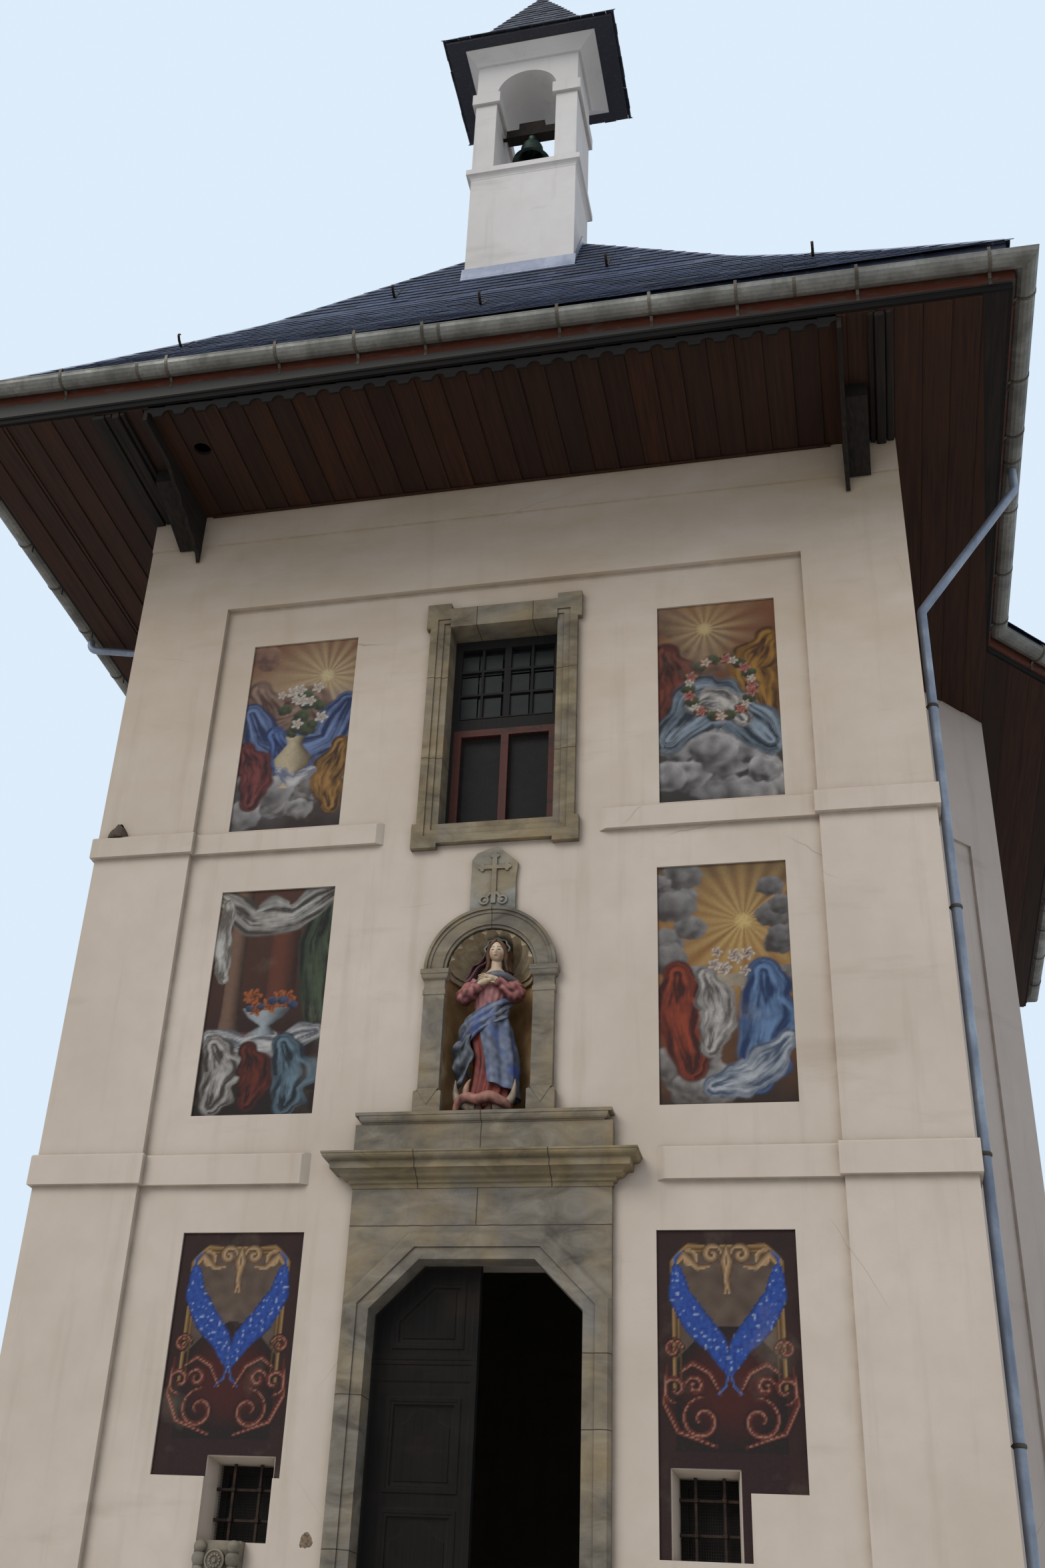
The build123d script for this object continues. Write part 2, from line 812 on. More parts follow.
def panelled(leaf, outline, field):
    """Frame one panel with a proud moulding, sink it and raise its field again."""
    frame = prism_xz(outline, leaf_y - panel_proud, leaf_y)
    sunk = prism_xz(offset_outline(outline, -panel_moulding), leaf_y - panel_proud - 1, leaf_y + panel_sunk)
    step = prism_xz(offset_outline(outline, -panel_moulding * 0.55), leaf_y - panel_proud - 1,
                    leaf_y - panel_proud * 0.4)
    raised = prism_xz(field, leaf_y + panel_sunk - panel_field_rise, leaf_y + panel_sunk)
    return leaf + frame - step - sunk + raised


def door_leaf(sign):
    """One leaf in its closed place, with panels, a middle rail and a strip at the meeting edge."""
    leaf = leaf_outline(sign)
    top = top_panel_outline(sign)
    leaf = panelled(leaf, top, offset_outline(top, -panel_moulding - panel_field_inset))
    for i in range(lower_panel_count):
        z1 = lower_panel_top - i * lower_panel_pitch
        z0 = z1 - lower_panel_height
        leaf = panelled(leaf, rectangle(sign, panel_near, panel_far, z0, z1), ogee_outline(sign, z0, z1))
    rail_end = door_width / 2 - leaf_gap
    z0, z1 = rail_bottom, rail_bottom + rail_height
    face = leaf_y
    bead = [(face, z0), (face - rail_proud * 0.5, z0 + 12), (face - rail_proud * 0.5, z1 - 66),
            (face - rail_proud, z1 - 58), (face - rail_proud, z1 - 42), (face - rail_proud * 0.5, z1 - 34),
            (face - rail_proud, z1 - 24), (face - rail_proud, z1 - 8), (face, z1)]
    edges = sorted((portal_shift + sign * leaf_gap / 2, portal_shift + sign * rail_end))
    leaf = leaf + prism_yz(bead, edges[0], edges[1])
    strip = rectangle(sign, leaf_gap / 2, meeting_strip_width, threshold_height + leaf_gap, door_height - leaf_gap)
    leaf = leaf + prism_xz(strip, leaf_y - meeting_strip_proud, leaf_y)
    for pin in pintles(sign, pintle_radius + seat_gap, leaf_gap):
        leaf = leaf - pin
    return leaf


def hinge_x(sign):
    return portal_shift + sign * (door_width / 2 + rebate - leaf_gap)


def hinge_y():
    return leaf_y + leaf_thickness


def pintles(sign, radius, extra):
    """Iron pins let into the jamb that carry one leaf."""
    height = pintle_height + 2 * extra
    return [Pos(hinge_x(sign), hinge_y(), z) * Cylinder(radius, height)
            for z in (pintle_low, pintle_middle, pintle_high)]


def opened(shape, sign, angle):
    """Turn a leaf inward about its hinge line."""
    axis = Axis((hinge_x(sign), hinge_y(), 0), (0, 0, 1))
    return shape.rotate(axis, -sign * angle)


# Niche and what stands in it

def archivolt():
    """Moulded ring over the niche, cut off at the springing."""
    x, z, r0, r1 = niche_shift, niche_spring, niche_radius, archivolt_outer
    face = relief - archivolt_out
    front = face - archivolt_rim_out
    ring = disc_xz(x, z, r1, front, relief)
    ring = ring - disc_xz(x, z, r1 - archivolt_rim, front - 1, face - 0.4 * archivolt_rim_out)
    ring = ring - disc_xz(x, z, r1 - 2.2 * archivolt_rim, front - 1, face)
    ring = ring - disc_xz(x, z, r0 + archivolt_lip, front - 1, face + archivolt_lip_sunk)
    keep = block(x - r1 - 1, x + r1 + 1, face - 100, relief, z, z + r1 + 1)
    return (ring & keep) - disc_xz(x, z, r0, face - 100, relief + 1)


def niche_surround():
    """Pilasters with bases and capitals, and the moulded archivolt."""
    x, z = niche_shift, niche_spring
    face = relief - archivolt_out
    h, out = capital_height, capital_out
    capital = [(0, z - h), (7, z - h + 6), (7, z - h + 46), (0, z - h + 54), (0, z - 0.42 * h)]
    capital += round_curve(8, z - 0.38 * h, out * 0.8, z - 0.2 * h) + [(out, z - 0.17 * h), (out, z)]
    base = [(niche_base_out, block_top), (niche_base_out, block_top + niche_base_height - 22),
            (0, block_top + niche_base_height)]
    parts = [archivolt()]
    for sign in (-1, 1):
        x0, x1 = sorted((x + sign * niche_radius, x + sign * (niche_radius + niche_jamb_width)))
        parts.append(block(x0, x1, face, relief, block_top, z - h + 1))
        parts.append(wall_moulding(x0, x1, face, relief, capital))
        parts.append(wall_moulding(x0, x1, face, relief, base))
        foot = [((x0 + x1) / 2, block_top + 0.35 * niche_base_height), (x1, block_top + niche_base_height),
                (x0, block_top + niche_base_height)]
        parts.append(prism_xz(foot, face - niche_base_out - 4, face))
    return combine(parts)


def shell_point(phi, theta, radius, forward=0.0):
    """A point on the half dome: phi from the back, theta round from the right."""
    x = niche_shift + radius * math.sin(phi) * math.cos(theta)
    y = relief + radius * math.cos(phi) - forward
    z = niche_spring + radius * math.sin(phi) * math.sin(theta)
    return (x, y, z)


def niche_shell():
    """Ribbed scallop shell that lines the half dome; its ribs meet low at the back."""
    steps = shell_flutes * 4
    rings = []
    for phi_deg, forward in [(angle, 0) for angle in (5, 14, 26, 38, 50, 62, 74, 83, 90)] + [(90, 1)]:
        phi = math.radians(phi_deg)
        ring = []
        for i in range(steps + 1):
            theta = math.pi * i / steps
            wave = abs(math.sin(shell_flutes * theta)) ** 0.7
            depth = shell_rib - (shell_rib - shell_flute) * wave * math.sin(phi)
            lip = shell_lip * forward * (0.25 + 0.75 * wave)
            ring.append(shell_point(phi, theta, niche_radius - depth, lip))
        for i in range(steps + 1):
            theta = math.pi * (steps - i) / steps
            lip = shell_lip * forward * 0.6
            ring.append(shell_point(phi, theta, niche_radius - seat_gap - 6 * forward, lip))
        rings.append(ring)
    shell = skin(rings)
    x, z = niche_shift, niche_spring - seat_gap
    height = shell_band_height
    outer = Pos(x, relief, z - height / 2) * Cylinder(niche_radius - seat_gap, height)
    inner = Pos(x, relief, z - height / 2) * Cylinder(niche_radius - shell_band_depth, height)
    band = (outer - inner) & block(x - 500, x + 500, relief, relief + 500, z - height, z)
    return [shell, band]


def draped_rings():
    """Cross-sections of the robe from the hem to the neck, with folds that turn as they rise."""
    rows = (
        (0.085, 0.02, 0.125, 0.095), (0.16, 0.02, 0.140, 0.105), (0.26, 0.015, 0.148, 0.112),
        (0.36, 0.01, 0.150, 0.116), (0.46, 0.0, 0.156, 0.120), (0.55, -0.005, 0.163, 0.124),
        (0.63, -0.01, 0.170, 0.128), (0.71, -0.01, 0.172, 0.130), (0.79, -0.005, 0.160, 0.124),
        (0.87, 0.0, 0.140, 0.112), (0.94, 0.005, 0.126, 0.100), (1.01, 0.01, 0.130, 0.102),
        (1.08, 0.015, 0.146, 0.108), (1.14, 0.02, 0.158, 0.104), (1.19, 0.022, 0.140, 0.088),
        (1.225, 0.025, 0.090, 0.064), (1.25, 0.028, 0.052, 0.050), (1.31, 0.03, 0.044, 0.046),
    )
    sides = 30
    rings = []
    for height, shift, half_x, half_y in rows:
        fold = statue_fold * max(0.0, 1.0 - height / 1.1)
        ring = []
        for i in range(sides):
            a = 2 * math.pi * i / sides
            wave = 1.0 + fold * math.cos(10 * a + 3.0 * height) + 0.6 * fold * math.cos(5 * a - 4.0 * height)
            x = niche_shift + statue_height * (shift + half_x * wave * math.cos(a)) / 1.5
            y = statue_y + statue_height * half_y * wave * math.sin(a) / 1.5
            ring.append((x, y, block_top + statue_height * height / 1.5))
        rings.append(ring)
    return rings


def statue_path(points):
    """Points of the figure given for a height of 1.5, as (right, forward, up)."""
    k = statue_height / 1.5
    return [(niche_shift + k * x, statue_y - k * y, block_top + k * z) for x, y, z in points]


def statue():
    """Standing draped figure: arms crossed on the chest, a blown mantle, a crescent at the feet."""
    k = statue_height / 1.5
    robe = skin(draped_rings())
    parts = [robe]
    hx, hy, hz = statue_path([(0.035, 0.015, 1.395)])[0]
    parts.append(Pos(hx, hy, hz) * Sphere(0.074 * k))
    parts.append(Pos(hx, hy, hz - 0.04 * k) * Sphere(0.058 * k))
    parts.append(Pos(hx - 0.012 * k, hy + 0.025 * k, hz + 0.012 * k) * Sphere(0.080 * k))
    parts.append(limb(statue_path([(-0.12, -0.01, 1.15), (-0.19, 0.03, 1.05), (-0.19, 0.09, 0.97)]),
                      [0.058 * k, 0.072 * k, 0.060 * k]))
    parts.append(limb(statue_path([(-0.19, 0.09, 0.98), (-0.09, 0.14, 1.05), (0.04, 0.125, 1.075)]),
                      [0.052 * k, 0.034 * k, 0.020 * k]))
    parts.append(limb(statue_path([(0.15, -0.01, 1.15), (0.20, 0.03, 1.06), (0.19, 0.09, 0.98)]),
                      [0.058 * k, 0.072 * k, 0.060 * k]))
    parts.append(limb(statue_path([(0.19, 0.09, 0.99), (0.10, 0.14, 1.08), (-0.03, 0.13, 1.12)]),
                      [0.052 * k, 0.034 * k, 0.020 * k]))
    sash = [(0.19, -0.02, 0.92), (0.12, 0.11, 0.85), (0.0, 0.13, 0.77), (-0.12, 0.11, 0.69), (-0.23, 0.05, 0.62)]
    parts.append(limb(statue_path(sash), [0.040 * k, 0.062 * k, 0.070 * k, 0.070 * k, 0.046 * k]))
    parts.append(limb(statue_path([(0.08, 0.06, 0.80), (0.10, 0.10, 0.60), (0.12, 0.09, 0.38), (0.14, 0.06, 0.16)]),
                      [0.070 * k, 0.066 * k, 0.052 * k, 0.026 * k]))
    parts.append(limb(statue_path([(-0.02, -0.05, 1.42), (-0.10, -0.06, 1.33), (-0.17, -0.05, 1.25)]),
                      [0.050 * k, 0.045 * k, 0.022 * k]))
    parts.append(block(niche_shift - 0.17 * k, niche_shift + 0.19 * k, statue_y - 0.12 * k, statue_y + 0.12 * k,
                       block_top, block_top + 0.1 * k))
    for sign in (-1, 1):
        horn = [(0.10 * sign, 0.10, 0.05), (0.18 * sign, 0.12, 0.08), (0.24 * sign, 0.12, 0.17),
                (0.25 * sign, 0.11, 0.27)]
        parts.append(limb(statue_path(horn), [0.045 * k, 0.040 * k, 0.026 * k, 0.006 * k]))
    return combine(parts)


def cross_plaque():
    """Tablet with a trefoil cross and two scrolls in low relief."""
    x = niche_shift
    half = plaque_width / 2
    z1 = niche_spring + archivolt_outer + plaque_height
    z0 = niche_spring
    points = [(x + half, z0), (x + half - 15, z1 - 330), (x + half, z1 - 160), (x + 20, z1), (x - 60, z1 - 22),
              (x - half + 40, z1 - 60), (x - half, z1 - 120), (x - half, z0)]
    plate = prism_xz(list(reversed(points)), relief - plaque_out, relief)
    plate = plate - disc_xz(x, niche_spring, archivolt_outer + 2, relief - 200, relief + 10)
    face = relief - plaque_out
    front = face - plaque_relief
    foot = niche_spring + archivolt_outer + 45
    head = z1 - 95
    arms = head - 105
    parts = [plate, block(x - 20, x + 20, front, face, foot, head), block(x - 105, x + 105, front, face,
                                                                       arms - 17, arms + 17)]
    for cx, cz in ((x, head), (x - 105, arms), (x + 105, arms)):
        parts.append(disc_xz(cx, cz, 26, front, face))
        for turn in (0, 90, 180, 270):
            a = math.radians(turn)
            parts.append(disc_xz(cx + 24 * math.cos(a), cz + 24 * math.sin(a), 14, front, face))
    for sign in (-1, 1):
        scroll = disc_xz(x + sign * 78, foot + 30, 42, front, face)
        scroll = scroll - disc_xz(x + sign * 78, foot + 30, 26, front - 1, face)
        parts.append(scroll + disc_xz(x + sign * 68, foot + 30, 15, front, face))
        stem = [(x + sign * right, foot + up) for right, up in ((12, 96), (34, 108), (66, 60), (50, 48))]
        parts.append(prism_xz(stem, front, face))
    return combine(parts)


# Windows and panels

def surround_outline():
    """Outline of the window stonework with ears at its four corners."""
    half = window_width / 2 + surround_jamb
    ear = half + surround_ear
    ear_in = ear - surround_ear_width
    low = window_bottom - surround_sill
    sill = window_bottom
    head = window_bottom + window_height
    top = head + surround_head
    right = [(ear_in, low), (ear_in, low - surround_ear_drop), (ear, low - surround_ear_drop), (ear, sill),
             (half, sill), (half, head), (ear, head), (ear, top + surround_ear_rise),
             (ear_in, top + surround_ear_rise), (ear_in, top)]
    left = [(-x, z) for x, z in reversed(right)]
    return [(window_shift + x, z) for x, z in right + left]


def surround_stone_void():
    return prism_xz(surround_outline(), relief, relief + surround_depth)


def window_surround():
    """Moulded stone frame of the upper window: three stepped bands on jambs and sill, a plain head."""
    face = relief - surround_out
    stone = prism_xz(surround_outline(), face, relief + surround_depth)
    half = window_width / 2
    z0 = window_bottom
    z1 = window_bottom + window_height
    x = window_shift
    for width, sunk in ((0.64 * surround_jamb, surround_step), (0.33 * surround_jamb, 2 * surround_step)):
        for sign in (-1, 1):
            edges = sorted((x + sign * half, x + sign * (half + width)))
            stone = stone - block(edges[0], edges[1], face - 1, face + sunk, z0 - width, z1 + width * 0.8)
        stone = stone - block(x - half - width, x + half + width, face - 1, face + sunk, z0 - width, z0 + 1)
    hole = block(x - half, x + half, face - 10, relief + surround_depth + 10, z0, z1)
    return stone - hole


def window_frame():
    """Dark timber frame: two casements with glazing bars over an open lower light."""
    x0 = window_shift - window_width / 2
    x1 = x0 + window_width
    z0, z1 = window_bottom, window_bottom + window_height
    y0 = relief + surround_depth
    y1 = y0 + frame_depth
    bar = frame_bar / 2
    frame = block(x0, x1, y0, y1, z0, z1)
    frame = frame - block(x0 + bar, x1 - bar, y0 - 5, y1 + 5, z0 + bar, window_transom)
    low, high = window_transom + transom_height, z1 - frame_bar - casement_rail
    columns, rows = 2, 3
    for sign in (-1, 1):
        u0, u1 = bar, window_width / 2 - frame_bar / 2 - casement_rail
        width = (u1 - u0 - (columns - 1) * glazing_bar) / columns
        height = (high - low - (rows - 1) * glazing_bar) / rows
        for i in range(columns):
            for j in range(rows):
                a0 = u0 + i * (width + glazing_bar)
                edges = sorted((window_shift + sign * a0, window_shift + sign * (a0 + width)))
                b0 = low + j * (height + glazing_bar)
                frame = frame - block(edges[0], edges[1], y0 - 5, y1 + 5, b0, b0 + height)
    groove = block(x0 + frame_bar, x1 - frame_bar, y0 - 5, y0 + 10,
                   low - casement_rail * 0.5, low - casement_rail * 0.3)
    return frame - groove


def window_screen():
    """Red-brown frame of the mesh screen in the lower light."""
    bar = frame_bar / 2
    x0 = window_shift - window_width / 2 + bar
    x1 = window_shift + window_width / 2 - bar
    z0, z1 = window_bottom + bar, window_transom
    y0 = relief + surround_depth
    frame = block(x0, x1, y0, y0 + screen_depth, z0, z1)
    middle = (x0 + x1) / 2
    stile = screen_stile
    for a, b in ((x0 + stile, middle - stile / 2), (middle + stile / 2, x1 - stile)):
        frame = frame - block(a, b, y0 - 5, y0 + screen_depth + 5, z0 + stile, z1 - stile)
    return frame


def window_glass():
    x0 = window_shift - window_width / 2
    y0 = relief + surround_depth + frame_depth
    return block(x0, x0 + window_width, y0, y0 + 6, window_bottom, window_bottom + window_height)


def small_window(sign):
    """Sash behind the bars of one small window, with its pane set back."""
    centre, width, inner = small_opening(sign)
    x0, x1 = centre - inner / 2, centre + inner / 2
    y0 = relief + small_set
    z0, z1 = small_sill, small_sill + small_height - small_splay
    bar = small_frame_bar
    sash = block(x0, x1, y0, y0 + small_frame_depth, z0, z1)
    return sash - block(x0 + bar, x1 - bar, y0 - 5, y0 + small_pane_set, z0 + bar, z1 - bar)


def painted_panels():
    """Painted plaster sheets at the back of the recesses, cut round the small windows."""
    y1 = relief + panel_recess
    y0 = y1 - panel_thickness
    sheets = {name + str(i): block(x0, x1, y0, y1, z0, z1)
              for i, (name, x0, x1, z0, z1) in enumerate(panel_boxes())}
    lower = [key for key in sheets if key.startswith("lower")]
    leg = [key for key in sheets if key.startswith("leg")][0]
    right = lower[-1]
    sheets[right] = sheets[right] + sheets.pop(leg)
    for key, sign in zip(lower, (-1, 1)):
        centre, width, inner = small_opening(sign)
        half = width / 2 + panel_clear
        sheets[key] = sheets[key] - block(centre - half, centre + half, 0, relief + 100, small_sill - 100,
                                          small_sill + small_height + panel_clear)
    return [solid for sheet in sheets.values() for solid in sheet.solids()]


def carved_corbel():
    """Worn carved stone under the left window: leaf rolls and a fluted roundel."""
    x = small_left + corbel_shift
    z1 = small_sill
    z0 = z1 - corbel_height
    half = corbel_width / 2
    out = corbel_out
    section = [(relief, z0 + 60), (relief - 0.5 * out, z0), (relief - out, z0 + 50), (relief - out, z1 - 60),
               (relief - 0.8 * out, z1), (relief, z1)]
    parts = [prism_yz(section, x - half, x + half)]
    for sign in (-1, 1):
        for z, radius in ((z1 - 45, 46), (z1 - 120, 52), (z1 - 190, 40)):
            parts.append(Pos(x + sign * (half - 44), relief - out, z) * Sphere(radius))
    front = relief - out - roundel_out
    cz = (z0 + z1) / 2
    parts.append(disc_xz(x, cz, roundel_radius, front, relief - out))
    stone = combine(parts)
    stone = stone - disc_xz(x, cz, roundel_radius - 12, front - 1, front + 8)
    stone = stone + disc_xz(x, cz, 14, front - 4, front + 9)
    petals = 12
    for i in range(petals):
        a = 2 * math.pi * i / petals
        stone = stone + disc_xz(x + 38 * math.cos(a), cz + 38 * math.sin(a), 8.5, front, front + 9)
    return stone


# Eaves

def eave_outline(grow):
    """Plan of the eaves, moved outward from the fascia line by a distance."""
    left = -half_front - eave_left - grow
    right = half_front + eave_right + grow
    step = (eave_right + grow) * math.tan(cant_angle / 2)
    y0 = -eave_front - grow
    y1 = building_depth + eave_back + grow
    return [(left, y0), (right, y0), (right, cant_start - step), (right + cant_out, cant_end - step),
            (right + cant_out, y1), (left, y1)]


def wall_outline():
    right = [(half_front, -ledge_depth), (half_front, cant_start), (half_nave, cant_end),
             (half_nave, building_depth)]
    return right + [(-x, y) for x, y in reversed(right)]


def eave_ring(outer_grow, inner_grow, z0, z1):
    return prism_xy(eave_outline(outer_grow), z0, z1) - prism_xy(eave_outline(inner_grow), z0, z1)


def soffit():
    """Boards under the eaves, with one round hole."""
    ring = prism_xy(eave_outline(-fascia_thickness), soffit_level, soffit_level + board_thickness)
    ring = ring - prism_xy(wall_outline(), soffit_level, soffit_level + board_thickness)
    return ring - Pos(vent_x, vent_y, soffit_level) * Cylinder(vent_radius, 4 * board_thickness)


def fascia():
    return eave_ring(0, -fascia_thickness, soffit_level, eave_level - roof_thickness)


def eave_board():
    z1 = eave_level - roof_thickness
    return eave_ring(eave_board_out, 0, z1 - eave_board_height, z1)


def valance():
    """Board with a scalloped lower edge between the consoles."""
    x0 = console_left + (console_block_width + console_plank) / 2
    x1 = console_right - (console_block_width + console_plank) / 2
    z1 = soffit_level
    y1 = -eave_front + fascia_thickness
    board = block(x0, x1, y1, y1 + board_thickness, z1 - valance_drop, z1)
    count = int((x1 - x0) / valance_pitch)
    pitch = (x1 - x0) / count
    for i in range(count + 1):
        x = x0 + i * pitch
        board = board - disc_xz(x, z1 - valance_drop, pitch * 0.28, y1 - 5, y1 + board_thickness + 5)
    return board


def console(sign):
    """Timber bracket: a plain sloping block, and a plank with a cut profile on its inner side."""
    centre = console_left if sign < 0 else console_right
    full = (console_block_width + console_plank) / 2
    z = soffit_level
    wall = -ledge_depth
    edges = sorted((centre + sign * full, centre - sign * (full - console_plank)))
    side = [(wall, z), (wall, z - console_block_drop), (wall - console_block_reach, z - console_block_tip),
            (wall - console_block_reach, z)]
    timber = prism_yz(side, edges[0], edges[1])
    drop, reach, tail = console_drop, console_reach, console_tail
    profile = [(0, 0), (0, -drop), (-45, -drop + 70), (-150, -drop + 95), (-205, -drop + 150), (-330, -drop + 165),
               (-420, -drop + 235), (-560, -drop + 255), (-640, -drop + 330), (-780, -drop + 350),
               (-860, -tail - 50), (-1000, -tail), (-reach, -tail), (-reach, 0)]
    edges = sorted((centre - sign * full, centre - sign * (full - console_plank)))
    return timber + prism_yz([(wall + y, z + dz) for y, dz in profile], edges[0], edges[1])


# Roof

def slope_section(run):
    """Section of one slope: bell-cast curve, thickness measured straight down."""
    top = [(run * t, eave_level + roof_rise * h) for t, h in roof_profile]
    return top + [(s, z - roof_thickness) for s, z in reversed(top)]


def ridge_points():
    """Where the hips and the ridge meet in plan: front, middle and back."""
    back = eave_outline(0)[4][1]
    return (0.0, front_ridge_end), (0.0, cant_end - ridge_turn), (0.0, back - back_hip_run)


def roof_slopes():
    fl, fr, turn_1, turn_2, br, bl = eave_outline(0)
    front_end, centre, back_end = ridge_points()
    z0, z1 = wall_height - roof_rise, ridge_level + roof_rise
    front = prism_yz([(fl[1] + s, z) for s, z in slope_section(front_end[1] - fl[1])], fl[0], fr[0])
    front = front & prism_xy([fl, fr, front_end], z0, z1)
    back = prism_yz([(br[1] - s, z) for s, z in slope_section(back_hip_run)], bl[0], br[0])
    back = back & prism_xy([bl, br, back_end], z0, z1)
    left = prism_xz([(fl[0] + s, z) for s, z in slope_section(-fl[0])], fl[1], bl[1])
    left = left & prism_xy([fl, front_end, back_end, bl], z0, z1)
    narrow = prism_xz([(fr[0] - s, z) for s, z in slope_section(fr[0])], fr[1], centre[1])
    narrow = narrow & prism_xy([fr, front_end, centre, turn_1], z0, z1)
    wide = prism_xz([(br[0] - s, z) for s, z in slope_section(br[0])], turn_2[1], br[1])
    wide = wide & prism_xy([turn_2, centre, back_end, br], z0, z1)
    cant = canted_slope(turn_1, turn_2, centre, br[1]) & prism_xy([turn_1, turn_2, centre], z0, z1)
    return front, combine([narrow, cant, wide]), back, left


def canted_slope(turn_1, turn_2, centre, spread):
    """The plane over the canted wall, longer at both ends than it is used."""
    dx, dy = turn_2[0] - turn_1[0], turn_2[1] - turn_1[1]
    length = math.hypot(dx, dy)
    dx, dy = dx / length, dy / length
    run = (turn_1[0] - centre[0]) * dy - (turn_1[1] - centre[1]) * dx
    start = (turn_1[0] - dx * spread, turn_1[1] - dy * spread)
    points = [Vector(start[0] - dy * s, start[1] + dx * s, z) for s, z in slope_section(run)]
    return extrude(Face(Wire.make_polygon(points, close=True)), amount=2 * spread, dir=(dx, dy, 0))


def turret_hole():
    gap = flashing_thickness
    return block(-turret_half - gap, turret_half + gap, turret_front - gap, turret_back + gap, wall_height,
                 ridge_level + roof_rise)


def cap_ring(x, y, z, wing_a, wing_b):
    """Section of a zinc cap: two wings that lie on the slopes, and a raised crest."""
    lift = seat_gap
    top = seat_gap + cap_thickness
    (ax, ay, az), (bx, by, bz) = wing_a, wing_b
    return [(x + ax, y + ay, z + az + lift), (x, y, z + lift), (x + bx, y + by, z + bz + lift),
            (x + bx, y + by, z + bz + top), (x, y, z + top + cap_crest), (x + ax, y + ay, z + az + top)]


def hip_cap(corner, end, inward):
    """Cap along one hip: it follows the bell-cast from the eave corner to the ridge."""
    rings = []
    for t, h in roof_profile:
        t_used = min(t, cap_stop)
        if t > t_used:
            low = roof_profile[-2]
            h = low[1] + (h - low[1]) * (t_used - low[0]) / (t - low[0])
        x = corner[0] + (end[0] - corner[0]) * t_used
        y = corner[1] + (end[1] - corner[1]) * t_used
        z = eave_level + roof_rise * h
        across = -math.copysign(cap_wing, corner[0])
        along = inward * cap_wing
        rings.append(cap_ring(x, y, z, (across, 0, 0), (0, along, 0)))
    return skin(rings)


def hip_caps():
    """Caps on the four hips and on the ridge."""
    fl, fr, turn_1, turn_2, br, bl = eave_outline(0)
    front_end, centre, back_end = ridge_points()
    hole = turret_hole()
    caps = [hip_cap(fl, front_end, 1) - hole, hip_cap(fr, front_end, 1) - hole,
            hip_cap(bl, back_end, -1), hip_cap(br, back_end, -1)]
    rings = []
    (t0, h0), (t1, h1) = roof_profile[-2:]
    steep = roof_rise * (h1 - h0) / (t1 - t0)
    left = -cap_wing * steep / abs(bl[0])
    right = -cap_wing * steep / br[0]
    for y in (turret_back + flashing_thickness + seat_gap, back_end[1]):
        rings.append(cap_ring(0, y, ridge_level, (-cap_wing, 0, left), (cap_wing, 0, right)))
    caps.append(skin(rings))
    return caps


# Gutters and pipes

def gutter_levels():
    """Rim level at both ends of each run; the run along the left side hangs below the one in front."""
    left, right, side = [eave_level - drop for drop in (gutter_left_drop, gutter_right_drop, gutter_side_drop)]
    return [(left, right), (right, right), (right, right), (right, right), (right, side), (side, side)]


def gutter_centre():
    return eave_board_out + gutter_radius + seat_gap


def gutter():
    """Half-round gutter round the eaves, mitred at the corners."""
    steps = 8
    inner = gutter_radius - gutter_wall
    section = []
    for radius, turn in ((gutter_radius, 1), (inner, -1)):
        for i in range(steps + 1):
            a = -math.pi / 2 + turn * math.pi * (i / steps - 0.5)
            section.append((gutter_centre() + radius * math.cos(a), radius * math.sin(a)))
    spare = 4 * gutter_radius
    corners = eave_outline(0)
    beyond = eave_outline(spare)
    count = len(corners)
    runs = []
    for i, (level_0, level_1) in enumerate(gutter_levels()):
        a0, a1 = corners[i], corners[(i + 1) % count]
        dx, dy = a1[0] - a0[0], a1[1] - a0[1]
        length = math.hypot(dx, dy)
        dx, dy = dx / length, dy / length
        fall = (level_1 - level_0) / length
        start = (a0[0] - dx * spare, a0[1] - dy * spare, level_0 - fall * spare)
        points = [Vector(start[0] + dy * s, start[1] - dx * s, start[2] + z) for s, z in section]
        slant = math.hypot(1, fall)
        run = extrude(Face(Wire.make_polygon(points, close=True)), amount=(length + 2 * spare) * slant,
                      dir=(dx / slant, dy / slant, fall / slant))
        mitre = [a0, a1, beyond[(i + 1) % count], beyond[i]]
        wedge = prism_xy(mitre, wall_height - spare, eave_level + spare)
        runs.append(run & wedge)
    return combine(runs)


def pipe(points):
    path = FilletPolyline(*points, radius=pipe_bend)
    start = Plane(origin=path @ 0, z_dir=path % 0)
    return sweep(start * Circle(pipe_radius), path=path)


def outlet_x(overhang):
    return half_front + overhang + gutter_centre()


def downpipe_right():
    """From the right gutter back to the wall and down behind the corner."""
    x_gutter = outlet_x(eave_right)
    x_wall = half_front + pipe_radius + pipe_stand_off
    top = eave_level - gutter_right_drop - gutter_radius - seat_gap
    return pipe([(x_gutter, right_outlet_y, top), (x_gutter, right_outlet_y, top - right_outlet_drop),
                 (x_wall, right_wall_y, top - right_elbow_drop), (x_wall, right_wall_y, pipe_foot)])


def downpipe_left():
    """From the left gutter level under the soffit to the wall and down."""
    x_gutter = -outlet_x(eave_left)
    x_wall = -half_front - pipe_radius - pipe_stand_off
    top = eave_level - gutter_side_drop - gutter_radius - seat_gap
    return pipe([(x_gutter, left_outlet_y, top), (x_gutter, left_outlet_y, top - left_outlet_drop),
                 (x_wall, left_wall_y, top - left_elbow_drop), (x_wall, left_wall_y, pipe_foot)])


# Bell turret

